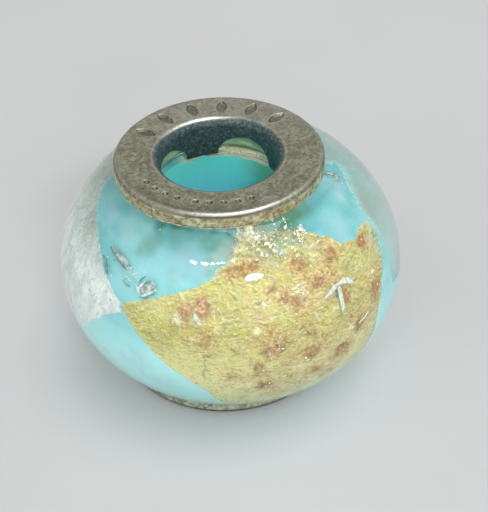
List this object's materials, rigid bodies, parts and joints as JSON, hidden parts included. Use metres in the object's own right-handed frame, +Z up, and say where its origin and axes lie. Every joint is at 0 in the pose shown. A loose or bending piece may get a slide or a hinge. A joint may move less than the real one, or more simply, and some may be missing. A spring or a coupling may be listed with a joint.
{
  "type": "european charm bead",
  "caption": "Large-hole glass bead with gold and silver leaf under clear glass and a flanged silver grommet in each end of its bore.",
  "frame": {"origin": "on the bore's axis at the lower flange's outer face, which the bead stands on", "axes": "+Z up along the bore, -Y to the front with the gold leaf, +X to the right"},
  "size_m": [0.014, 0.014, 0.0101],
  "materials": {
    "opaque_glass": "opaque turquoise lampworked glass",
    "gold_leaf": "crinkled gold-coloured metal leaf",
    "silver_leaf": "crumpled silver leaf",
    "copper_flecks": "copper glitter glass, orange-brown",
    "clear_glass": "clear fire-polished glass",
    "silver": "sterling silver with grey and brown tarnish in its pits"
  },
  "bodies": {
    "root": {"glass_core": "opaque_glass", "gold_leaf": "gold_leaf", "silver_leaf_left": "silver_leaf", "silver_leaf_right": "silver_leaf", "copper_flecks": "copper_flecks", "clear_casing": "clear_glass", "upper_grommet": "silver", "lower_grommet": "silver"}
  },
  "joints": []
}
